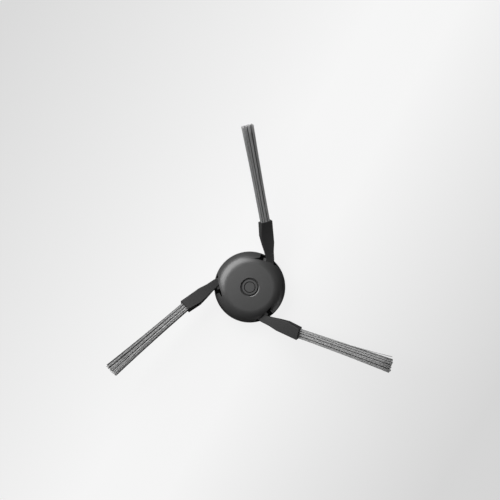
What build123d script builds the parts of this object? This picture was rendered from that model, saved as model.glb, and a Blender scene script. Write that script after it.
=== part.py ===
from build123d import *
import os
from math import cos, radians, sin, tan

# Side brush of a robot vacuum cleaner: a domed hub in two parts clamps three rubber arms, and each
# arm holds a tuft of bristles. Millimetres, +Z along the hub's axis towards the cap, origin in the
# mouth of the drive socket, on the plane that the hub stands on. The sizes below are for the first
# arm; the others are the same, turned about the axis.

ARM_COUNT = 3

# Hub cap: a crowned dome with a broad round shoulder
HUB_DIAMETER = 36.0
HUB_HEIGHT = 13.0
CROWN_RADIUS = 110.0
SHOULDER_RADIUS = 7.0
CAP_WALL = 1.6
PARTING_CHAMFER = 0.25
OUTER_RING_DIAMETER = 7.7
OUTER_RING_WIDTH = 0.4
OUTER_RING_DEPTH = 0.8
OUTER_RING_LEAN = 0.9
INNER_RING_DIAMETER = 5.0
INNER_RING_WIDTH = 0.3
INNER_RING_DEPTH = 0.5
INNER_RING_LEAN = 0.2

# Hub base: flange, deck, drive socket and the seats of the arms
FLANGE_THICKNESS = 1.6
FLANGE_CHAMFER = 0.5
DECK_TOP = 2.8
SPIGOT_TOP = 4.0
SPIGOT_WALL = 1.4
SPIGOT_CLEARANCE = 0.1
RIM_WIDTH = 2.6
RECESS_DEPTH = 1.2
SPOKE_COUNT = 6
SPOKE_WIDTH = 1.2
SPOKE_INSET = 0.3
SOCKET_BORE = 6.0
SOCKET_DEPTH = 8.4
SOCKET_WALL = 2.6
SOCKET_ROOF = 1.2
COLLAR_WALL = 4.0
KEYWAY_COUNT = 2
KEYWAY_WIDTH = 1.6
KEYWAY_DEPTH = 0.8
SEAT_HEIGHT = 6.6
SEAT_MARGIN = 0.3
PEG_DIAMETER = 3.0
PEG_CLEARANCE = 0.1
PEG_ENGAGEMENT = 1.6
PEG_FIT = 0.05

# Rubber arm. Seen from above, u runs along the tuft's axis, inset from the hub's edge, and v to its
# left; the arm leaves its eye level, and from its bend it rises, thickens and rolls until its left
# side is the higher.
ARM_AZIMUTH = 100.6
ARM_INSET = 4.3
ARM_SLOPE = 15.0
ARM_ROLL = 18.0
ARM_EDGE_RADIUS = 0.4
ARM_CLEARANCE = 0.06
EYE_POSITION = 4.6
EYE_SIDE = 3.4
EYE_DIAMETER = 5.2
EYE_THICKNESS = 2.4
BEND_POSITION = 8.6
BEND_LEFT = 4.1
BEND_RIGHT = 0.3
NECK_POSITION = 11.5
NECK_LEFT = 2.9
NECK_RIGHT = 1.0
THROAT_POSITION = 15.8
THROAT_LEFT = 3.3
THROAT_RIGHT = 1.55
WAIST_POSITION = 20.1
WAIST_LEFT = 3.9
WAIST_RIGHT = 2.6
KNEE_POSITION = 24.5
KNEE_LEFT = 4.3
KNEE_RIGHT = 3.0
TIP_POSITION = 31.2
TIP_LEFT = 3.45
TIP_RIGHT = 3.65
TIP_THICKNESS = 4.8

# Window in the dome round each arm, seen from above: x runs along its flat back wall towards the arm,
# y outwards. Past its side it goes on as a wedge along the back wall, a rib stands beside the arm, and
# a notch ends it past the arm. A low lip closes its front, under the arm.
WINDOW_AZIMUTH = 76.0
WINDOW_DEPTH = 3.4
WINDOW_SIDE = 1.4
WINDOW_SILL = 4.4
WINDOW_WALL = 1.2
WEDGE_LENGTH = 2.9
WEDGE_WIDTH = 1.1
RIB_POSITION = 4.1
RIB_WIDTH = 1.5
RIB_REACH = 1.6
RIB_TOP = 9.0
NOTCH_POSITION = 8.8
NOTCH_DEPTH = 0.7
LIP_WALL = 0.6
LIP_TOP = 6.6

# Bristle tuft: a flat bundle that flares towards its cut end
TUFT_REACH = 80.3
TUFT_FLARE = 1.45
BRISTLE_DIAMETER = 0.4
BRISTLE_PITCH = 0.46
BRISTLE_ROWS = 5
BRISTLES_PER_ROW = 10
SLOT_CLEARANCE = 0.12
SLOT_DEPTH = 4.0
HEEL_LENGTH = 3.0
HEEL_LIP = 0.25

# Derived sizes
HUB_RADIUS = HUB_DIAMETER / 2
ARM_OFFSET = HUB_RADIUS - ARM_INSET
WINDOW_BACK = HUB_RADIUS - WINDOW_DEPTH
EYE_TOP = SEAT_HEIGHT + EYE_THICKNESS
ROW_PITCH = BRISTLE_PITCH * sin(radians(60))
TUFT_WIDTH = (BRISTLES_PER_ROW - 1) * BRISTLE_PITCH + BRISTLE_DIAMETER
TUFT_THICKNESS = (BRISTLE_ROWS - 1) * ROW_PITCH + BRISTLE_DIAMETER
FAR = 2 * HUB_DIAMETER

# The plane of a window's sill
WINDOW_ACROSS = Vector(0, -1, 0).rotate(Axis.Z, WINDOW_AZIMUTH)
WINDOW_OUTWARDS = Vector(1, 0, 0).rotate(Axis.Z, WINDOW_AZIMUTH)
WINDOW_ORIGIN = WINDOW_OUTWARDS * WINDOW_BACK + Vector(0, 0, WINDOW_SILL)
WINDOW_PLANE = Plane(WINDOW_ORIGIN, x_dir=WINDOW_ACROSS, z_dir=(0, 0, 1))

# The arm's own frame, level, with its origin where the tuft's axis passes nearest to the hub's axis
ARM_ALONG = Vector(1, 0, 0).rotate(Axis.Z, ARM_AZIMUTH)
ARM_LEFT = Vector(0, 1, 0).rotate(Axis.Z, ARM_AZIMUTH)
ARM_PLANE = Plane(ARM_LEFT * -ARM_OFFSET, x_dir=ARM_ALONG, z_dir=(0, 0, 1))
EYE_MIDDLE = SEAT_HEIGHT + EYE_THICKNESS / 2
BEND_CENTRE = ARM_PLANE.from_local_coords(Vector(BEND_POSITION, 0, EYE_MIDDLE))
EYE_CENTRE = ARM_PLANE.from_local_coords(Vector(EYE_POSITION, EYE_SIDE, 0))

# The end of the arm, rolled so that its left side is the higher: x to the left, y up through its
# thickness, z out along the tuft
TIP_HEIGHT = EYE_MIDDLE + (TIP_POSITION - BEND_POSITION) * tan(radians(ARM_SLOPE))
TIP_CENTRE = ARM_PLANE.from_local_coords(Vector(TIP_POSITION, 0, TIP_HEIGHT))
TUFT_ALONG = ARM_ALONG * cos(radians(ARM_SLOPE)) + Vector(0, 0, sin(radians(ARM_SLOPE)))
TIP_ACROSS = ARM_LEFT.rotate(Axis((0, 0, 0), TUFT_ALONG), ARM_ROLL)
TIP_PLANE = Plane(TIP_CENTRE, x_dir=TIP_ACROSS, z_dir=TUFT_ALONG)


def disc(radius, low, high):
    """A cylinder on the hub's axis between two heights."""
    return Pos(0, 0, low) * extrude(Circle(radius), amount=high - low)


def post(centre, radius, low, high):
    """A cylinder beside the hub's axis between two heights."""
    return Pos(centre.X, centre.Y, 0) * disc(radius, low, high)


def around(shape, count):
    """Copies of a shape, evenly turned about the hub's axis."""
    return [Rot(0, 0, 360 / count * i) * shape for i in range(count)]


def dome(inset):
    """The hub's closed outer form above its flange, or the same form with every wall moved inwards."""
    height = HUB_HEIGHT - FLANGE_THICKNESS
    section = Pos(0, FLANGE_THICKNESS) * Rectangle(HUB_RADIUS - inset, height, align=Align.MIN)
    section &= Pos(0, HUB_HEIGHT - CROWN_RADIUS) * Circle(CROWN_RADIUS - inset)
    corner = section.vertices().group_by(Axis.X)[-1].sort_by(Axis.Y)[-1]
    section = fillet(corner, max(SHOULDER_RADIUS - inset, CAP_WALL / 4))
    return revolve(Plane.XZ * section, Axis.Z)


def arm_section(position, left, right, grow):
    """One section of the arm past its bend, square to the tuft, that spans two sides from above."""
    share = (position - BEND_POSITION) / (TIP_POSITION - BEND_POSITION)
    thickness = EYE_THICKNESS + (TIP_THICKNESS - EYE_THICKNESS) * share
    roll = ARM_ROLL * share
    across = (left + right) / 2 - ARM_EDGE_RADIUS - (thickness / 2 - ARM_EDGE_RADIUS) * sin(radians(roll))
    width = 2 * (across / cos(radians(roll)) + ARM_EDGE_RADIUS)
    centre = BEND_CENTRE + (TIP_CENTRE - BEND_CENTRE) * share + ARM_LEFT * ((left - right) / 2)
    plane = Plane(centre, x_dir=ARM_LEFT.rotate(Axis((0, 0, 0), TUFT_ALONG), roll), z_dir=TUFT_ALONG)
    return plane * RectangleRounded(width + 2 * grow, thickness + 2 * grow, ARM_EDGE_RADIUS)


def arm_root(grow):
    """The level root of the arm: its eye, and the web that leads to the bend."""
    eye_half = EYE_DIAMETER / 2
    end = BEND_POSITION + sin(radians(ARM_SLOPE)) * EYE_THICKNESS / 2
    corners = [
        (EYE_POSITION, EYE_SIDE - eye_half),
        (end, -BEND_RIGHT),
        (end, BEND_LEFT),
        (EYE_POSITION, EYE_SIDE + eye_half),
    ]
    outline = make_face(Polyline(corners, close=True)) + Pos(EYE_POSITION, EYE_SIDE) * Circle(eye_half)
    if grow:
        outline = offset(outline, grow)
    return Pos(0, 0, SEAT_HEIGHT - grow) * extrude(ARM_PLANE * outline, amount=EYE_THICKNESS + 2 * grow)


def arm_blank(grow=0.0):
    """The arm without its holes, or the space that it needs with a clearance all round."""
    sides = [
        (BEND_POSITION, BEND_LEFT, BEND_RIGHT),
        (NECK_POSITION, NECK_LEFT, NECK_RIGHT),
        (THROAT_POSITION, THROAT_LEFT, THROAT_RIGHT),
        (WAIST_POSITION, WAIST_LEFT, WAIST_RIGHT),
        (KNEE_POSITION, KNEE_LEFT, KNEE_RIGHT),
        (TIP_POSITION, TIP_LEFT, TIP_RIGHT),
    ]
    return arm_root(grow) + loft([arm_section(*side, grow) for side in sides], ruled=True)


def heel():
    """The melted root of the tuft, wider than the slot in front of it."""
    block = Rectangle(TUFT_WIDTH + 2 * HEEL_LIP, TUFT_THICKNESS + 2 * HEEL_LIP)
    return TIP_PLANE * Pos(0, 0, -SLOT_DEPTH - HEEL_LENGTH) * extrude(block, amount=HEEL_LENGTH)


def rubber_arm():
    """One arm: an eye for the base's peg, and a slot in its end that closes round the tuft's heel."""
    slot = Rectangle(TUFT_WIDTH + 2 * SLOT_CLEARANCE, TUFT_THICKNESS + 2 * SLOT_CLEARANCE)
    arm = arm_blank() - TIP_PLANE * extrude(slot, amount=-SLOT_DEPTH) - heel()
    return arm - post(EYE_CENTRE, PEG_DIAMETER / 2 + PEG_CLEARANCE, SEAT_HEIGHT, EYE_TOP)


def bristle(across, through):
    """One bristle, from inside the heel to the cut end, where the tuft has flared."""
    root = Vector(across, through, 0)
    length = (TUFT_REACH - TIP_POSITION) / cos(radians(ARM_SLOPE))
    lean = root * ((TUFT_FLARE - 1) / length) + Vector(0, 0, 1)
    start = root - lean * (SLOT_DEPTH + HEEL_LENGTH / 2)
    end = root + lean * length
    rod = extrude(RegularPolygon(BRISTLE_DIAMETER / 2, 6), amount=(end - start).length)
    return Plane(start, x_dir=(1, 0, 0), z_dir=lean) * rod


def bristle_tuft():
    """One tuft: rows of bristles, set like bricks, that leave a common heel."""
    bristles = []
    for row in range(BRISTLE_ROWS):
        count = BRISTLES_PER_ROW - row % 2
        through = (row - (BRISTLE_ROWS - 1) / 2) * ROW_PITCH
        for column in range(count):
            across = (column - (count - 1) / 2) * BRISTLE_PITCH
            bristles.append(TIP_PLANE * bristle(across, through))
    return heel().fuse(*bristles)


def window(wall):
    """The space of one window, or the same space with a wall all round it."""
    corners = [
        (WINDOW_SIDE - WEDGE_LENGTH, 0),
        (NOTCH_POSITION, 0),
        (NOTCH_POSITION, -NOTCH_DEPTH),
        (FAR, -NOTCH_DEPTH),
        (FAR, FAR),
        (WINDOW_SIDE, FAR),
        (WINDOW_SIDE, WEDGE_WIDTH),
    ]
    outline = make_face(Polyline(corners, close=True))
    if wall:
        return extrude(WINDOW_PLANE * offset(outline, wall, kind=Kind.INTERSECTION), amount=FAR)
    lip = disc(FAR, 0, LIP_TOP) - disc(HUB_RADIUS - LIP_WALL, 0, LIP_TOP)
    return extrude(WINDOW_PLANE * outline, amount=FAR) - lip


def rib():
    """The rib on a window's back wall that stands close to the arm's side."""
    outline = Pos(RIB_POSITION, -WINDOW_WALL / 2) * Rectangle(
        RIB_WIDTH, WINDOW_WALL / 2 + RIB_REACH, align=(Align.CENTER, Align.MIN)
    )
    return extrude(WINDOW_PLANE * outline, amount=RIB_TOP - WINDOW_SILL)


def ring(diameter, width, depth, lean):
    """A groove round the middle of the cap: a straight inner wall and an outer wall that leans out."""
    inner, outer = diameter / 2, diameter / 2 + width
    low, high = HUB_HEIGHT - depth, HUB_HEIGHT + depth
    points = [(inner, low), (outer, low), (outer + lean * (high - low), high), (inner, high)]
    return revolve(Plane.XZ * make_face(Polyline(points, close=True)), Axis.Z)


def hub_cap():
    """The dome: a thin shell with a window for each arm, and a boss that presses on each arm's eye."""
    cap, middle = dome(0) - dome(CAP_WALL), dome(CAP_WALL / 2)
    cap = chamfer(cap.edges().group_by(Axis.Z)[0].sort_by(SortBy.LENGTH)[-1], PARTING_CHAMFER)
    cap = cap.fuse(*around(window(WINDOW_WALL) & middle, ARM_COUNT))
    cap = cap.cut(*around(window(0), ARM_COUNT)).fuse(*around(rib(), ARM_COUNT))
    cap = cap.cut(*around(arm_blank(ARM_CLEARANCE), ARM_COUNT))
    boss = post(EYE_CENTRE, EYE_DIAMETER / 2, EYE_TOP, HUB_HEIGHT) & middle
    peg_top = EYE_TOP + PEG_ENGAGEMENT + PEG_CLEARANCE
    peg_hole = post(EYE_CENTRE, PEG_DIAMETER / 2 + PEG_FIT, EYE_TOP, peg_top)
    cap = cap.fuse(*around(boss, ARM_COUNT)).cut(*around(peg_hole, ARM_COUNT))
    outer_ring = ring(OUTER_RING_DIAMETER, OUTER_RING_WIDTH, OUTER_RING_DEPTH, OUTER_RING_LEAN)
    inner_ring = ring(INNER_RING_DIAMETER, INNER_RING_WIDTH, INNER_RING_DEPTH, INNER_RING_LEAN)
    return cap.cut(outer_ring, inner_ring)


def hub_base():
    """The underside: a flange with a spoked recess, the keyed drive socket, and a seat and peg per arm."""
    socket_radius = SOCKET_BORE / 2
    collar = socket_radius + COLLAR_WALL
    recess_edge = HUB_RADIUS - RIM_WIDTH
    spigot = HUB_RADIUS - CAP_WALL - SPIGOT_CLEARANCE
    base = chamfer(disc(HUB_RADIUS, 0, FLANGE_THICKNESS).edges().group_by(Axis.Z)[0], FLANGE_CHAMFER)
    base += disc(spigot, FLANGE_THICKNESS, SPIGOT_TOP) - disc(spigot - SPIGOT_WALL, DECK_TOP, SPIGOT_TOP)
    base -= disc(recess_edge, 0, RECESS_DEPTH) - disc(collar, 0, RECESS_DEPTH)
    spoke_length = recess_edge - collar
    spoke = Pos(collar + spoke_length / 2, 0, SPOKE_INSET) * extrude(
        Rectangle(spoke_length + SPOKE_WIDTH, SPOKE_WIDTH), amount=RECESS_DEPTH - SPOKE_INSET
    )
    base = base.fuse(*around(spoke, SPOKE_COUNT))
    base += disc(socket_radius + SOCKET_WALL, DECK_TOP, SOCKET_DEPTH + SOCKET_ROOF)
    seat = post(EYE_CENTRE, EYE_DIAMETER / 2 + SEAT_MARGIN, DECK_TOP, SEAT_HEIGHT)
    peg = post(EYE_CENTRE, PEG_DIAMETER / 2, DECK_TOP, EYE_TOP + PEG_ENGAGEMENT)
    base = base.fuse(*around(seat + peg, ARM_COUNT))
    base -= disc(socket_radius, 0, SOCKET_DEPTH)
    keyway = Pos(socket_radius, 0, 0) * extrude(
        Rectangle(2 * KEYWAY_DEPTH, KEYWAY_WIDTH), amount=SOCKET_DEPTH
    )
    for cut in around(keyway, KEYWAY_COUNT):
        base -= cut
    return base


def main():
    os.makedirs("parts", exist_ok=True)
    nodes = {"hub_cap": hub_cap(), "hub_base": hub_base()}
    for stem, shape in (("rubber_arm", rubber_arm()), ("bristle_tuft", bristle_tuft())):
        for number, copy in enumerate(around(shape, ARM_COUNT), start=1):
            nodes[f"{stem}_{number}"] = copy
    for name, shape in nodes.items():
        export_step(shape, f"parts/{name}.step")


main()
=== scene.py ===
"""Looks of a robot vacuum side brush: its bristles, its finishes, and a plain studio round it."""

import logging
import math
import random
from dataclasses import dataclass, replace
from enum import Enum
from typing import Any, Optional, Union

import bpy
import numpy as np
from mathutils import Matrix, Vector


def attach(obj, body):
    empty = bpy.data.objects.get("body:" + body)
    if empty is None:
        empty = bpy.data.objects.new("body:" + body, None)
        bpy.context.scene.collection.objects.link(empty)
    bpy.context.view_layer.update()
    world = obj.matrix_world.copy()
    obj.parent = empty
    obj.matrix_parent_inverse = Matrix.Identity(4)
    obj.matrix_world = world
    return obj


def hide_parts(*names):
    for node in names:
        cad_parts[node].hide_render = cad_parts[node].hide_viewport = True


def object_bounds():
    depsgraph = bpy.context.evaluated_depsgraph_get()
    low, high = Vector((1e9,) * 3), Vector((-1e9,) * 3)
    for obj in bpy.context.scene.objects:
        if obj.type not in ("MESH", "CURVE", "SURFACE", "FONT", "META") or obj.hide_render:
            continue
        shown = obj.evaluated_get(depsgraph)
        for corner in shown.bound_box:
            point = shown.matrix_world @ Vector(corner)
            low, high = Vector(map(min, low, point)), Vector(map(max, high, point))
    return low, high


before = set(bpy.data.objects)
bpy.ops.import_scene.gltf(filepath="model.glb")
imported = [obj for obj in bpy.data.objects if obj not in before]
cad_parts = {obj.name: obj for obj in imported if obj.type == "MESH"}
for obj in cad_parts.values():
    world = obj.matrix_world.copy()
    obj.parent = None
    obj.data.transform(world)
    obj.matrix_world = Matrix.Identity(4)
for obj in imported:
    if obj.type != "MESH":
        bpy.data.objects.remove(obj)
CAD_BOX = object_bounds()

BODY = "root"
UP = Vector((0.0, 0.0, 1.0))
MM = 0.001
RIGHT_ANGLE = 90.0
NOISE_MEAN = 0.5
NOISE_FALLOFF = 0.55
AXIS_PASSES = 3
END_SLICE = 1.0 * MM
FIRST_SEED = 10

log = logging.getLogger("side_brush")

Colour = tuple[float, float, float, float]
Number = Union[int, float]


class Slot(Enum):
    """The name of a material slot meant for the modelled bristles; nothing in this script uses it."""

    BRISTLE = "bristle_nylon"


class Bow(Enum):
    """How far a filament's cut end strays from the line of its root, in metres."""

    STRAIGHT = 0.0
    SLIGHT = 0.35 * MM
    GENTLE = 0.7 * MM
    FULL = 1.05 * MM
    WIDE = 1.8 * MM

    @classmethod
    def nearest(cls, distance: float) -> "Bow":
        """The bow whose cut end strays about as far as a distance."""
        return min(cls, key=lambda bow: abs(bow.value - distance))


class Value:
    """A shader socket that takes part in Python arithmetic: each expression adds a Math node."""

    def __init__(self, graph: "Graph", socket: bpy.types.NodeSocket) -> None:
        """Wraps one output socket of a graph."""
        self.graph = graph
        self.socket = socket

    def _math(self, operation: str, first: Any, second: Any) -> "Value":
        """Adds the Math node of one operation."""
        return self.graph.node("ShaderNodeMath", {"operation": operation}, {0: first, 1: second})

    def __add__(self, other: Union["Value", Number]) -> "Value":
        """self + other."""
        return self._math("ADD", self, other)

    def __radd__(self, other: Number) -> "Value":
        """other + self."""
        return self._math("ADD", other, self)

    def __sub__(self, other: Union["Value", Number]) -> "Value":
        """self - other."""
        return self._math("SUBTRACT", self, other)

    def __rsub__(self, other: Number) -> "Value":
        """other - self."""
        return self._math("SUBTRACT", other, self)

    def __mul__(self, other: Union["Value", Number]) -> "Value":
        """self * other."""
        return self._math("MULTIPLY", self, other)

    def __rmul__(self, other: Number) -> "Value":
        """other * self."""
        return self._math("MULTIPLY", other, self)

    def under(self, other: Union["Value", Number]) -> "Value":
        """1 where the value is smaller than another one, 0 elsewhere."""
        return self._math("LESS_THAN", self, other)

    def over(self, other: Union["Value", Number]) -> "Value":
        """1 where the value is larger than another one, 0 elsewhere."""
        return self._math("GREATER_THAN", self, other)

    def at_most(self, other: Union["Value", Number]) -> "Value":
        """The smaller of two values."""
        return self._math("MINIMUM", self, other)

    def at_least(self, other: Union["Value", Number]) -> "Value":
        """The larger of two values."""
        return self._math("MAXIMUM", self, other)


class Graph:
    """The node tree of one material or of the world, built node by node."""

    def __init__(self, owner: Union[bpy.types.Material, bpy.types.World]) -> None:
        """Empties the owner's node tree."""
        owner.use_nodes = True
        self.owner = owner
        self.tree = owner.node_tree
        self.tree.nodes.clear()

    def node(
        self,
        kind: str,
        settings: Optional[dict[str, Any]] = None,
        inputs: Optional[dict[Union[str, int], Any]] = None,
        output: Union[str, int] = 0,
    ) -> Value:
        """Adds one node.

        Args:
            kind: Blender's name of the node's type.
            settings: The node's own properties, set before its sockets.
            inputs: A value or a link for each named or numbered input socket.
            output: The output socket that is wanted.

        Returns:
            That output socket, ready for arithmetic.
        """
        made = self.tree.nodes.new(kind)
        for key, value in (settings or {}).items():
            setattr(made, key, value)
        for key, value in (inputs or {}).items():
            if isinstance(value, Value):
                self.tree.links.new(value.socket, made.inputs[key])
            else:
                made.inputs[key].default_value = value
        return Value(self, made.outputs[output])

    def place(self) -> Value:
        """The point on the piece, in the row frame, in metres."""
        return self.node("ShaderNodeTexCoord", output="Object")

    def axis(self, letter: str) -> Value:
        """One coordinate of the point on the piece, in metres."""
        return self.node("ShaderNodeSeparateXYZ", None, {0: self.place()}, output=letter)

    def radius(self) -> Value:
        """How far the point on the piece lies from the hub's axis, in metres."""
        level = {0: self.place(), 1: (1.0, 1.0, 0.0)}
        flat = self.node("ShaderNodeVectorMath", {"operation": "MULTIPLY"}, level)
        return self.node("ShaderNodeVectorMath", {"operation": "LENGTH"}, {0: flat}, output="Value")

    def noise(self, grain: float, detail: float) -> Value:
        """A noise from 0 to 1.

        Args:
            grain: The size of its features, in metres.
            detail: How many finer layers it has.

        Returns:
            The noise's value.
        """
        settings = {"noise_dimensions": "3D", "normalize": True}
        inputs = {
            "Vector": self.place(),
            "Scale": 1 / grain,
            "Detail": detail,
            "Roughness": NOISE_FALLOFF,
        }
        return self.node("ShaderNodeTexNoise", settings, inputs)

    def blend(self, share: Value, first: Union[Value, Colour], second: Union[Value, Colour]) -> Value:
        """A colour between two others."""
        settings = {"data_type": "RGBA", "clamp_factor": True}
        return self.node("ShaderNodeMix", settings, {0: share, 6: first, 7: second}, output=2)

    def bump(
        self, height: Value, depth: float, strength: float, under: Optional[Value] = None
    ) -> Value:
        """The normal of a surface with fine relief.

        Args:
            height: The relief, from 0 to 1.
            depth: The real height of its peaks, in metres.
            strength: How much of it shows.
            under: The normal of a relief that this one lies on.

        Returns:
            The normal.
        """
        inputs = {"Height": height, "Distance": depth, "Strength": strength}
        if under:
            inputs["Normal"] = under
        return self.node("ShaderNodeBump", None, inputs, output="Normal")

    def surface(self, shader: Value) -> None:
        """Makes a shader the owner's surface."""
        world = isinstance(self.owner, bpy.types.World)
        made = self.tree.nodes.new("ShaderNodeOutputWorld" if world else "ShaderNodeOutputMaterial")
        self.tree.links.new(shader.socket, made.inputs["Surface"])


def grey(value: float) -> Colour:
    """A neutral linear colour."""
    return (value, value, value, 1.0)


@dataclass(frozen=True)
class SatinPlastic:
    """Black moulded plastic with a fine grain, with a near-black, dull painted shade low in its windows
    and in its grooves.
    """

    name: str = "satin_black_plastic"
    dark: float = 0.042
    pale: float = 0.051
    # The colour of the painted shade low in the windows and in the grooves.
    painted_shade: float = 0.01
    ior: float = 1.62
    roughness: float = 0.35
    painted_shade_roughness: float = 0.85
    mottle_size: float = 5.0 * MM
    mottle_detail: float = 4.0
    mottle_gloss: float = 0.08
    grain_size: float = 0.16 * MM
    grain_detail: float = 2.0
    grain_gloss: float = 0.06
    grain_depth: float = 0.006 * MM
    grain_strength: float = 0.5
    well_radius: float = 17.9 * MM
    well_levels: tuple[float, float] = (3.5 * MM, 6.8 * MM)
    groove_level: float = 11.0 * MM
    grooves: tuple[tuple[float, float], ...] = ((2.45 * MM, 2.95 * MM), (3.8 * MM, 4.27 * MM))
    wall: tuple[float, float] = (4.54 * MM, 4.86 * MM)
    wall_easing: float = 0.19 * MM

    def build(self) -> bpy.types.Material:
        """Makes the material."""
        graph = Graph(bpy.data.materials.new(self.name))
        mottle = graph.noise(self.mottle_size, self.mottle_detail)
        grain = graph.noise(self.grain_size, self.grain_detail)
        # Painted shade: the windows' low surfaces and the ring grooves are made near-black and dull.
        painted_shade = self.well(graph).at_least(self.groove(graph))
        skin = graph.blend(mottle, grey(self.dark), grey(self.pale))
        gloss = self.roughness + (mottle - NOISE_MEAN) * self.mottle_gloss
        gloss = gloss + (grain - NOISE_MEAN) * self.grain_gloss
        inputs = {
            "Base Color": graph.blend(painted_shade, skin, grey(self.painted_shade)),
            "Roughness": gloss + painted_shade * (self.painted_shade_roughness - self.roughness),
            "Normal": graph.bump(grain, self.grain_depth, self.grain_strength, self.eased_wall(graph)),
            "IOR": self.ior,
        }
        graph.surface(graph.node("ShaderNodeBsdfPrincipled", None, inputs))
        return graph.owner

    def well(self, graph: Graph) -> Value:
        """1 low inside the windows, where painted shade goes, 0 elsewhere."""
        low, high = self.well_levels
        inside = graph.radius().under(self.well_radius)
        return inside * graph.axis("Z").over(low) * graph.axis("Z").under(high)

    def groove(self, graph: Graph) -> Value:
        """1 in the rings in the middle of the cap, where painted shade goes, 0 elsewhere."""
        found = graph.axis("Z").over(self.groove_level)
        rings = [graph.radius().over(low) * graph.radius().under(high) for low, high in self.grooves]
        return found * rings[0].at_least(rings[1])

    def eased_wall(self, graph: Graph) -> Value:
        """The normal of the cap, with the outer ring's leaning wall less steep."""
        low, high = self.wall
        fall = ((high - graph.radius()) * (1 / (high - low))).at_least(0.0).at_most(1.0)
        return graph.bump(fall * graph.axis("Z").over(self.groove_level), self.wall_easing, 1.0)


@dataclass(frozen=True)
class MatteRubber:
    """Soft black rubber with a dry, slightly uneven skin."""

    name: str = "matte_black_rubber"
    dark: float = 0.018
    pale: float = 0.027
    ior: float = 1.45
    roughness: float = 0.74
    mottle_size: float = 2.2 * MM
    mottle_detail: float = 5.0
    mottle_share: float = 0.6
    grain_size: float = 0.32 * MM
    grain_detail: float = 3.0
    grain_share: float = 0.4
    grain_gloss: float = 0.16
    grain_depth: float = 0.02 * MM
    grain_strength: float = 0.6

    def build(self) -> bpy.types.Material:
        """Makes the material."""
        graph = Graph(bpy.data.materials.new(self.name))
        mottle = graph.noise(self.mottle_size, self.mottle_detail)
        grain = graph.noise(self.grain_size, self.grain_detail)
        skin = mottle * self.mottle_share + grain * self.grain_share
        inputs = {
            "Base Color": graph.blend(skin, grey(self.dark), grey(self.pale)),
            "Roughness": self.roughness + (grain - NOISE_MEAN) * self.grain_gloss,
            "Normal": graph.bump(grain, self.grain_depth, self.grain_strength),
            "IOR": self.ior,
        }
        graph.surface(graph.node("ShaderNodeBsdfPrincipled", None, inputs))
        return graph.owner


@dataclass(frozen=True)
class NylonFilament:
    """Grey nylon: each filament has a tone of its own, faintly uneven along it, and a paler cut end."""

    name: str = "grey_nylon_filament"
    dark: float = 0.035
    pale: float = 0.48
    cut: float = 0.45
    cut_share: float = 0.995
    cut_sharpness: float = 1000.0
    ior: float = 1.53
    roughness: float = 0.42
    uneven_size: float = 6.0 * MM
    uneven_detail: float = 2.0
    uneven_tone: float = 0.2
    uneven_gloss: float = 0.12

    def build(self) -> bpy.types.Material:
        """Makes the material."""
        graph = Graph(bpy.data.materials.new(self.name))
        tone = graph.node("ShaderNodeAttribute", {"attribute_name": "strand_tone"}, output="Fac")
        along = graph.node("ShaderNodeAttribute", {"attribute_name": "strand_along"}, output="Fac")
        uneven = graph.noise(self.uneven_size, self.uneven_detail) - NOISE_MEAN
        body = graph.blend(tone + uneven * self.uneven_tone, grey(self.dark), grey(self.pale))
        end = ((along - self.cut_share) * self.cut_sharpness).at_least(0.0).at_most(1.0)
        inputs = {
            "Base Color": graph.blend(end, body, grey(self.cut)),
            "Roughness": self.roughness + uneven * self.uneven_gloss,
            "IOR": self.ior,
        }
        graph.surface(graph.node("ShaderNodeBsdfPrincipled", None, inputs))
        return graph.owner


@dataclass(frozen=True)
class PaleSheet:
    """The studio's pale floor.

    It is palest in a band across the picture, and dim in reflections apart from the lower right.
    """

    name: str = "pale_floor"
    near: float = 0.913
    far: float = 0.68
    glow: float = 0.92
    fade_azimuth: float = -31.0
    plateau: float = 18.0 * MM
    fade_out: float = 117.0 * MM
    fade_back: float = 160.0 * MM
    dim: float = 0.08
    bounce: float = 0.9
    bounce_azimuth: float = -45.0
    bounce_taper: float = 1.1
    bounce_start: float = 14.0 * MM
    bounce_rise: float = 14.0 * MM

    def build(self) -> bpy.types.Material:
        """Makes the material."""
        graph = Graph(bpy.data.materials.new(self.name))
        far = self.along(graph, self.fade_azimuth)
        out = (far - self.plateau) * (1 / self.fade_out)
        back = (-self.plateau - far) * (1 / self.fade_back)
        colour = graph.blend(out.at_least(back), grey(self.near), grey(self.far))
        side = self.along(graph, self.bounce_azimuth + RIGHT_ANGLE)
        aside = side.at_least(0.0 - side)
        wedge = self.along(graph, self.bounce_azimuth) - aside * self.bounce_taper
        rise = (wedge - self.bounce_start) * (1 / self.bounce_rise)
        reflected = graph.blend(rise, grey(self.dim), grey(self.bounce))
        camera = graph.node("ShaderNodeLightPath", output="Is Camera Ray")
        plain = graph.node(
            "ShaderNodeBsdfPrincipled",
            None,
            {
                "Base Color": graph.blend(camera, reflected, colour),
                "Roughness": 1.0,
                "Specular IOR Level": 0.0,
            },
        )
        bright = graph.node("ShaderNodeEmission", None, {"Color": colour, "Strength": 1.0})
        mixed = {0: camera * self.glow, 1: plain, 2: bright}
        graph.surface(graph.node("ShaderNodeMixShader", None, mixed))
        return graph.owner

    def along(self, graph: Graph, azimuth: float) -> Value:
        """How far a point lies from the hub's axis in one direction."""
        turn = math.radians(azimuth)
        return graph.axis("X") * math.cos(turn) + graph.axis("Y") * math.sin(turn)


def dress(node: str, material: bpy.types.Material) -> None:
    """Gives a CAD node its finish.

    Args:
        node: The node's name.
        material: Its material.
    """
    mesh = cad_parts[node].data
    mesh.materials.clear()
    mesh.materials.append(material)
    log.info("%s: %s", node, material.name)


def start_object_mode() -> None:
    """Leaves edit mode and deselects everything."""
    if bpy.context.object and bpy.context.object.mode != "OBJECT":
        bpy.ops.object.mode_set(mode="OBJECT")
    bpy.ops.object.select_all(action="DESELECT")


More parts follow.
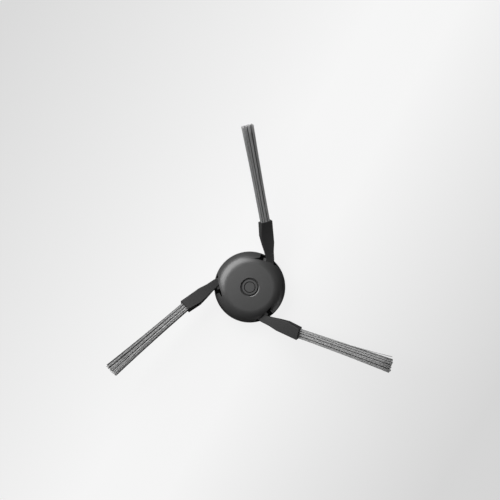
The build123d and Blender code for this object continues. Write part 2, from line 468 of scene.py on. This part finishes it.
@dataclass
class Hub:
    """The domed cap and the base that closes it."""

    material: bpy.types.Material
    nodes: tuple[str, ...] = ("hub_cap", "hub_base")

    def dress(self) -> None:
        """Gives both mouldings their finish."""
        for node in self.nodes:
            dress(node, self.material)


@dataclass
class RubberArm:
    """One rubber paddle."""

    number: int
    material: bpy.types.Material

    def dress(self) -> None:
        """Gives the paddle its finish."""
        dress(f"rubber_arm_{self.number}", self.material)


@dataclass(frozen=True)
class TuftSpace:
    """Where a tuft lies: the middle of the arm's mouth, the tuft's directions and its lengths."""

    mouth: Vector
    along: Vector
    across: Vector
    through: Vector
    reach: float
    depth: float

    @classmethod
    def of_nodes(cls, tuft: str, arm: str) -> "TuftSpace":
        """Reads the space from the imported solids.

        Args:
            tuft: The name of the tuft's node.
            arm: The name of the node of the arm that holds it.

        Returns:
            The space that the tuft fills.
        """
        points = np.array([v.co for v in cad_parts[tuft].data.vertices])
        middle = (points.min(0) + points.max(0)) / 2
        along = np.linalg.svd(points - points.mean(0), full_matrices=False)[2][0]
        along = along * np.sign(along @ (middle - np.array([0.0, 0.0, middle[2]])))
        for _ in range(AXIS_PASSES):
            reach = points @ along
            front = points[reach > reach.max() - END_SLICE]
            back = points[reach < reach.min() + END_SLICE]
            line = (front.min(0) + front.max(0)) / 2 - (back.min(0) + back.max(0)) / 2
            along = line / np.linalg.norm(line)
        reach = points @ along
        arm_points = np.array([v.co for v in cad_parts[arm].data.vertices])
        mouth_reach = (arm_points @ along).max()
        start = (back.min(0) + back.max(0)) / 2
        mouth = start + along * (mouth_reach - start @ along)
        flat = points - np.outer(points @ along, along)
        across = np.linalg.svd(flat - flat.mean(0), full_matrices=False)[2][0]
        across = across * np.sign(np.cross((0.0, 0.0, 1.0), along) @ across)
        direction, side = Vector(along), Vector(across)
        return cls(
            Vector(mouth),
            direction,
            side,
            direction.cross(side),
            float(reach.max() - mouth_reach),
            float(mouth_reach - reach.min()),
        )

    def matrix(self) -> Matrix:
        """From the tuft's own axes, across, through and along, to the row frame."""
        turn = Matrix((self.across, self.through, self.along)).transposed()
        return Matrix.Translation(self.mouth) @ turn.to_4x4()


@dataclass(frozen=True)
class Root:
    """One filament: where it leaves the arm's mouth, where it ends, and how it looks."""

    across: float
    through: float
    end_across: float
    end_through: float
    tone: float
    short: float
    straight: bool


@dataclass(frozen=True)
class Clump:
    """Filaments that cling together: their middle at the mouth and at the cut end, number and tone."""

    middle: float
    end_middle: float
    count: int
    tone: float


@dataclass(frozen=True)
class TuftLook:
    """What sets one tuft apart, with its sides named as seen from the hub.

    Attributes:
        flare: How much wider it is at its cut end than at the mouth.
        splay: How far the left-most filament of its top row stands off at its cut end.
        fan: How far its left edge spreads straight from the mouth, beyond the flare.
        tones: The tone of each clump, from right to left.
        edges: The tones of the right-most and the left-most filaments, as shares of their clumps':
            painted shade at the tuft's sides.
        drifts: How far each clump's cut end drifts to the left, from right to left.
        lit: How much paler the rows of painted shade are at the left edge: painted light.
        trim: How much shorter it is cut than its solid.
    """

    flare: float
    splay: float
    fan: float
    tones: tuple[float, ...]
    edges: tuple[float, float]
    drifts: tuple[float, ...]
    lit: float
    trim: float


TUFT_LOOKS = {
    1: TuftLook(
        flare=1.3,
        splay=0.0,
        fan=0.0,
        tones=(0.48, 0.56, 0.62, 0.7),
        edges=(0.8, 0.8),
        drifts=(0.0, 0.0, 0.0, 0.0),
        lit=0.0,
        trim=0.0,
    ),
    2: TuftLook(
        flare=1.66,
        splay=0.0,
        fan=0.0,
        tones=(0.56, 0.58, 0.8, 0.68),
        edges=(0.4, 0.4),
        drifts=(0.45 * MM, 0.64 * MM, 0.18 * MM, -0.14 * MM),
        lit=0.0,
        trim=0.18 * MM,
    ),
    3: TuftLook(
        flare=1.46,
        splay=1.6 * MM,
        fan=0.35 * MM,
        tones=(0.62, 0.64, 0.64, 0.78),
        edges=(0.8, 0.7),
        drifts=(0.0, 0.0, 0.0, 0.0),
        lit=0.4,
        trim=0.2 * MM,
    ),
}


@dataclass
class BristleTuft:
    """One flat tuft of nylon filaments that leave a common heel, in place of its plain solid.

    Attributes:
        number: The number of the tuft and of its arm.
        material: The filaments' finish.
        look: What sets this tuft apart.
        seed: The start of its random numbers.
        clump_sizes: How many filaments each clump has in a row, from right to left.
        gap_shares: How the spare width is shared out among the gaps between the clumps.
        shade: The tone of the lower clumped rows, as a share of the top one's: painted shade under the
            top row.
        tone_spread: How far one filament's tone strays from its clump's.
        spread_tone: The palest tone in the evenly spread rows, which are painted dark as shade between
            the clumped rows.
        edge_cut: How much shorter the filaments at the two edges are.
        splay_shares: How much of the splay the left-most filament of each row takes, lowest first.
        splay_cut: How much shorter a splayed filament is, as a share of its splay.
        droop: How far a splayed filament sinks, as a share of its splay.
        cling: How much more a clump spreads than the tuft does.
        ragged: The largest difference in length.
        ragged_power: How much rarer short filaments are than long ones.
        drift: How far the clumps' cut ends stray by chance.
        wander: How far the filaments' cut ends stray by chance.
    """

    number: int
    material: bpy.types.Material
    look: TuftLook
    seed: int
    filament_diameter: float = 0.35 * MM
    sides: int = 7
    lengths: int = 8
    rows: int = 5
    clump_sizes: tuple[int, ...] = (3, 3, 2, 2)
    gap_shares: tuple[float, ...] = (0.37, 0.37, 0.26)
    shade: float = 0.5
    tone_spread: float = 0.06
    spread_tone: float = 0.1
    edge_cut: float = 0.2 * MM
    splay_shares: tuple[float, ...] = (0.05, 0.0, 0.1, 0.0, 1.0)
    splay_cut: float = 0.35
    droop: float = 0.35
    cling: float = 1.1
    root_width: float = 4.7 * MM
    root_thickness: float = 1.94 * MM
    bow_power: float = 2.0
    cut_chamfer: float = 0.4
    cut_width: float = 0.55
    ragged: float = 0.8 * MM
    ragged_power: int = 2
    drift: float = 0.06 * MM
    wander: float = 0.05 * MM
    heel_length: float = 3.0 * MM
    heel_lip: float = 0.16 * MM
    heel_bevel: float = 0.25 * MM
    heel_segments: int = 2
    heel_tone: float = 0.2
    smooth_angle: float = 50.0

    def build(self) -> bpy.types.Object:
        """Models the tuft and puts it in the place of its solid.

        Returns:
            The finished piece.
        """
        solid = f"bristle_tuft_{self.number}"
        space = TuftSpace.of_nodes(solid, f"rubber_arm_{self.number}")
        chance = random.Random(self.seed)
        masters = {bow: self.filament(space, bow) for bow in Bow}
        strands = [self.heel(space)]
        for root in self.roots(chance):
            strands.append(self.strand(masters, space, root))
        piece = self.joined(strands, f"nylon_tuft_{self.number}")
        for master in masters.values():
            bpy.data.objects.remove(master)
        piece.data.materials.clear()
        piece.data.materials.append(self.material)
        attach(piece, BODY)
        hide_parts(solid)
        log.info("%s: %d strands, %d faces", piece.name, len(strands) - 1, len(piece.data.polygons))
        return piece

    def clumps(self, chance: random.Random) -> list[Clump]:
        """Shares the tuft's width out among its clumps and the gaps between them.

        Args:
            chance: The tuft's own random numbers.

        Returns:
            The clumps, from the tuft's right to its left.
        """
        pitch = self.filament_diameter
        spare = self.root_width - pitch * sum(self.clump_sizes)
        found = []
        edge = -self.root_width / 2
        look, shares = self.look, (*self.gap_shares, 0.0)
        for count, share, tone, drift in zip(self.clump_sizes, shares, look.tones, look.drifts):
            middle = edge + count * pitch / 2
            end = middle * look.flare + chance.gauss(drift, self.drift)
            found.append(Clump(middle, end, count, tone))
            edge += count * pitch + spare * share
        return found

    def roots(self, chance: random.Random) -> list[Root]:
        """Sets out the filaments: clumped rows, and rows between them that are spread evenly and
        painted dark as their shade.

        Args:
            chance: The tuft's own random numbers.

        Returns:
            Where each filament starts and ends.
        """
        clumps = self.clumps(chance)
        found = []
        for row in range(self.rows):
            found += self.spread_row(chance, row) if row % 2 else self.clumped_row(chance, row, clumps)
        return found

    def through(self, row: int) -> float:
        """How far a row lies from the middle of the tuft; the last one is on top."""
        return (row / (self.rows - 1) - 0.5) * (self.root_thickness - self.filament_diameter)

    def clumped_row(self, chance: random.Random, row: int, clumps: list[Clump]) -> list[Root]:
        """One row of filaments that cling together in clumps, palest on top, with painted shade on the
        lower rows and at the edges.
        """
        found = []
        top = row == self.rows - 1
        # Painted shade: the clumped rows under the top one are darker.
        shade = 1.0 if top else self.shade
        for clump in clumps:
            for number in range(clump.count):
                place = (number - (clump.count - 1) / 2) * self.filament_diameter
                end = clump.end_middle + place * self.look.flare * self.cling
                tone = clump.tone * shade + chance.uniform(-self.tone_spread, self.tone_spread)
                found.append(self.root(chance, clump.middle + place, self.through(row), end, tone))
        # Painted shade: the outermost filaments of the row are darker.
        right, left = self.look.edges
        first, last = found[0], found[-1]
        splay = self.look.splay * self.splay_shares[row]
        found[0] = replace(first, tone=first.tone * right, short=first.short + self.edge_cut)
        found[-1] = replace(
            last,
            tone=last.tone * left,
            end_across=last.end_across + splay,
            end_through=last.end_through - splay * self.droop,
            short=last.short + self.edge_cut + splay * self.splay_cut,
            straight=last.straight and not top,
        )
        return found

    def spread_row(self, chance: random.Random, row: int) -> list[Root]:
        """One row of evenly spread filaments between two clumped rows, painted dark as their shade, and
        paler towards the left edge as painted light.
        """
        count = sum(self.clump_sizes) - 1
        step = (self.root_width - self.filament_diameter) / count
        places = [(number - (count - 1) / 2) * step for number in range(count)]
        # Painted shade: near-dark tones, with painted light making them paler towards the left edge.
        lit = [self.leftness(place) * self.look.lit for place in places]
        tones = [chance.uniform(0.0, self.spread_tone) + paler for paler in lit]
        return [
            self.root(chance, place, self.through(row), place * self.look.flare, tone)
            for place, tone in zip(places, tones)
        ]

    def leftness(self, across: float) -> float:
        """How near a place lies to the tuft's left edge, from 0 at the middle to 1."""
        return max(across / (self.root_width / 2), 0.0)

    def root(
        self, chance: random.Random, across: float, through: float, end: float, tone: float
    ) -> Root:
        """Gives a filament's cut end its own small stray and length.

        Args:
            chance: The tuft's own random numbers.
            across: Its root's place across the tuft.
            through: Its root's place through the tuft.
            end: Its cut end's place across the tuft.
            tone: Its tone, from 0, dark, to 1, pale.

        Returns:
            Where the filament starts and ends.
        """
        widest = (self.root_width * self.look.flare - self.filament_diameter) / 2
        end_across = min(max(end + chance.gauss(0.0, self.wander), -widest), widest)
        end_through = through * self.cling + chance.uniform(-1.0, 1.0) * self.wander
        short = chance.random() ** self.ragged_power * self.ragged + self.look.trim
        fan = self.leftness(across) * self.look.fan
        return Root(across, through, end_across + fan, end_through, tone, short, fan > 0.0)

    def filament(self, space: TuftSpace, bow: Bow) -> bpy.types.Object:
        """Models one filament along +Z, from inside the heel to its cut end, bowed towards +X.

        Args:
            space: The tuft's space.
            bow: How far it bends.

        Returns:
            The filament, which is copied and then removed.
        """
        start = self.heel_length / 2 - space.depth
        radius = self.filament_diameter / 2
        chamfer = radius * self.cut_chamfer
        step = (space.reach - chamfer) / self.lengths
        start_object_mode()
        bpy.ops.mesh.primitive_circle_add(
            vertices=self.sides, radius=radius, fill_type="NGON", location=(0.0, 0.0, start)
        )
        made = bpy.context.object
        bpy.ops.object.transform_apply(location=True, rotation=True, scale=True)
        bpy.ops.object.mode_set(mode="EDIT")
        bpy.ops.mesh.select_all(action="SELECT")
        bpy.ops.mesh.extrude_region_move(TRANSFORM_OT_translate={"value": (0.0, 0.0, -start)})
        shares = [number / self.lengths for number in range(self.lengths + 1)]
        strays = [bow.value * share**self.bow_power for share in shares]
        for before, after in zip(strays, strays[1:]):
            move = {"value": (after - before, 0.0, step)}
            bpy.ops.mesh.extrude_region_move(TRANSFORM_OT_translate=move)
        bpy.ops.mesh.extrude_region_move(TRANSFORM_OT_translate={"value": (0.0, 0.0, chamfer)})
        bpy.ops.transform.resize(value=(self.cut_width, self.cut_width, 1.0))
        bpy.ops.mesh.select_all(action="SELECT")
        bpy.ops.mesh.normals_make_consistent(inside=False)
        bpy.ops.object.mode_set(mode="OBJECT")
        return made

    def mark(self, mesh: bpy.types.Mesh, tone: float) -> None:
        """Writes a strand's tone, and how far along it each point lies, on its mesh.

        Args:
            mesh: The strand's mesh, along +Z.
            tone: Its tone, from 0, dark, to 1, pale.
        """
        heights = np.array([v.co.z for v in mesh.vertices])
        span = heights.max() - heights.min()
        tones = mesh.attributes.new("strand_tone", "FLOAT", "POINT")
        tones.data.foreach_set("value", np.full(len(heights), tone, dtype=np.float32))
        along = mesh.attributes.new("strand_along", "FLOAT", "POINT")
        along.data.foreach_set("value", ((heights - heights.min()) / span).astype(np.float32))

    def strand(
        self, masters: dict[Bow, bpy.types.Object], space: TuftSpace, root: Root
    ) -> bpy.types.Object:
        """Copies the filament whose bow suits its place into the tuft.

        Args:
            masters: The filaments to copy.
            space: The tuft's space.
            root: Where the strand starts and ends.

        Returns:
            The strand, in the row frame.
        """
        stray = root.end_across - root.across
        bow = Bow.STRAIGHT if root.straight else Bow.nearest(abs(stray))
        mesh = masters[bow].data.copy()
        self.mark(mesh, root.tone)
        rest = stray - math.copysign(bow.value, stray)
        lean = Vector((rest, root.end_through - root.through, space.reach))
        turn = UP.rotation_difference(lean).to_matrix().to_4x4()
        side = Matrix.Rotation(math.pi if stray < 0 else 0.0, 4, "Z")
        size = Matrix.Diagonal((1.0, 1.0, 1.0 - root.short / space.reach, 1.0))
        place = Matrix.Translation((root.across, root.through, 0.0))
        mesh.transform(space.matrix() @ place @ turn @ side @ size)
        made = bpy.data.objects.new("strand", mesh)
        bpy.context.scene.collection.objects.link(made)
        return made

    def heel(self, space: TuftSpace) -> bpy.types.Object:
        """Models the melted heel that the strands leave, inside the arm.

        Args:
            space: The tuft's space.

        Returns:
            The heel, in the row frame.
        """
        start_object_mode()
        middle = self.heel_length / 2 - space.depth
        bpy.ops.mesh.primitive_cube_add(size=1.0, location=(0.0, 0.0, middle))
        made = bpy.context.object
        width = self.root_width + 2 * self.heel_lip
        thickness = self.root_thickness + 2 * self.heel_lip
        made.scale = (width, thickness, self.heel_length)
        bpy.ops.object.transform_apply(location=True, rotation=True, scale=True)
        bpy.ops.object.mode_set(mode="EDIT")
        bpy.ops.mesh.select_all(action="SELECT")
        bpy.ops.mesh.bevel(offset=self.heel_bevel, segments=self.heel_segments, affect="EDGES")
        bpy.ops.object.mode_set(mode="OBJECT")
        self.mark(made.data, self.heel_tone)
        made.data.transform(space.matrix())
        return made

    def joined(self, parts: list[bpy.types.Object], name: str) -> bpy.types.Object:
        """Joins a tuft's strands and heel.

        Args:
            parts: The objects to join.
            name: The piece's name.

        Returns:
            The joined piece, at the origin.
        """
        start_object_mode()
        for part in parts:
            part.select_set(True)
        bpy.context.view_layer.objects.active = parts[0]
        bpy.ops.object.join()
        made = bpy.context.object
        made.name = name
        made.data.name = name
        bpy.ops.object.shade_smooth_by_angle(angle=math.radians(self.smooth_angle))
        return made


@dataclass
class Studio:
    """A pale floor, soft lamps and a camera that looks straight down."""

    floor_material: bpy.types.Material
    floor_radius: float = 1.5
    floor_sides: int = 96
    floor_gap: float = 0.02 * MM
    ambient: float = 0.03
    key_azimuth: float = 135.0
    key_elevation: float = 38.0
    key_distance: float = 1.0
    key_size: tuple[float, float] = (1.25, 0.9)
    key_power: float = 21.0
    top_height: float = 2.6
    top_size: float = 1.6
    top_power: float = 6.0
    camera_height: float = 2.0
    view_width: float = 252.8 * MM
    view_centre: tuple[float, float] = (0.12 * MM, 18.75 * MM)
    view_level: float = 8.0 * MM
    view_depth: float = 10.0
    sensor: float = 36.0

    def build(self) -> None:
        """Sets up the floor, the lamps, the world and the camera."""
        self.floor()
        self.world()
        self.lamps()
        self.camera()
        bpy.context.scene.view_settings.view_transform = "Standard"

    def floor(self) -> None:
        """Lays a round sheet under the brush."""
        start_object_mode()
        level = CAD_BOX[0].z - self.floor_gap
        bpy.ops.mesh.primitive_circle_add(
            vertices=self.floor_sides,
            radius=self.floor_radius,
            fill_type="NGON",
            location=(0.0, 0.0, level),
        )
        floor = bpy.context.object
        floor.name = "floor"
        floor.data.materials.append(self.floor_material)

    def world(self) -> None:
        """Makes a dim surround that is white to the camera."""
        world = bpy.data.worlds.new("surround")
        bpy.context.scene.world = world
        graph = Graph(world)
        camera = graph.node("ShaderNodeLightPath", output="Is Camera Ray")
        strength = camera * (1.0 - self.ambient) + self.ambient
        inputs = {"Color": grey(1.0), "Strength": strength}
        graph.surface(graph.node("ShaderNodeBackground", None, inputs))

    def lamps(self) -> None:
        """Hangs a softbox at the upper left and a wide one overhead."""
        azimuth, elevation = math.radians(self.key_azimuth), math.radians(self.key_elevation)
        towards = Vector(
            (
                math.cos(azimuth) * math.cos(elevation),
                math.sin(azimuth) * math.cos(elevation),
                math.sin(elevation),
            )
        )
        self.softbox("key_softbox", towards * self.key_distance, self.key_size, self.key_power)
        top = Vector((self.view_centre[0], self.view_centre[1], self.top_height))
        self.softbox("top_softbox", top, (self.top_size, self.top_size), self.top_power)

    def softbox(self, name: str, place: Vector, size: tuple[float, float], power: float) -> None:
        """Hangs one rectangular lamp that faces the brush.

        Args:
            name: The lamp's name.
            place: Its middle.
            size: Its width and height.
            power: Its power in watts.
        """
        lamp = bpy.data.lights.new(name, "AREA")
        lamp.shape = "RECTANGLE"
        lamp.size, lamp.size_y = size
        lamp.energy = power
        holder = bpy.data.objects.new(name, lamp)
        holder.location = place
        holder.rotation_euler = (-place).to_track_quat("-Z", "Y").to_euler()
        bpy.context.scene.collection.objects.link(holder)

    def camera(self) -> None:
        """Hangs the camera over the brush, with +Y up in the picture."""
        lens = bpy.data.cameras.new("camera")
        lens.sensor_width = self.sensor
        lens.lens = self.sensor * (self.camera_height - self.view_level) / self.view_width
        lens.clip_end = self.view_depth
        holder = bpy.data.objects.new("camera", lens)
        holder.location = (self.view_centre[0], self.view_centre[1], self.camera_height)
        bpy.context.scene.collection.objects.link(holder)
        bpy.context.scene.camera = holder


def main() -> None:
    """Dresses the hub and the arms, builds the tufts and sets up the studio."""
    logging.basicConfig(level=logging.INFO, format="%(message)s")
    Hub(SatinPlastic().build()).dress()
    rubber = MatteRubber().build()
    nylon = NylonFilament().build()
    for number, look in TUFT_LOOKS.items():
        RubberArm(number, rubber).dress()
        BristleTuft(number, nylon, look, seed=FIRST_SEED + number).build()
    Studio(PaleSheet().build()).build()


if __name__ == "__main__":
    main()
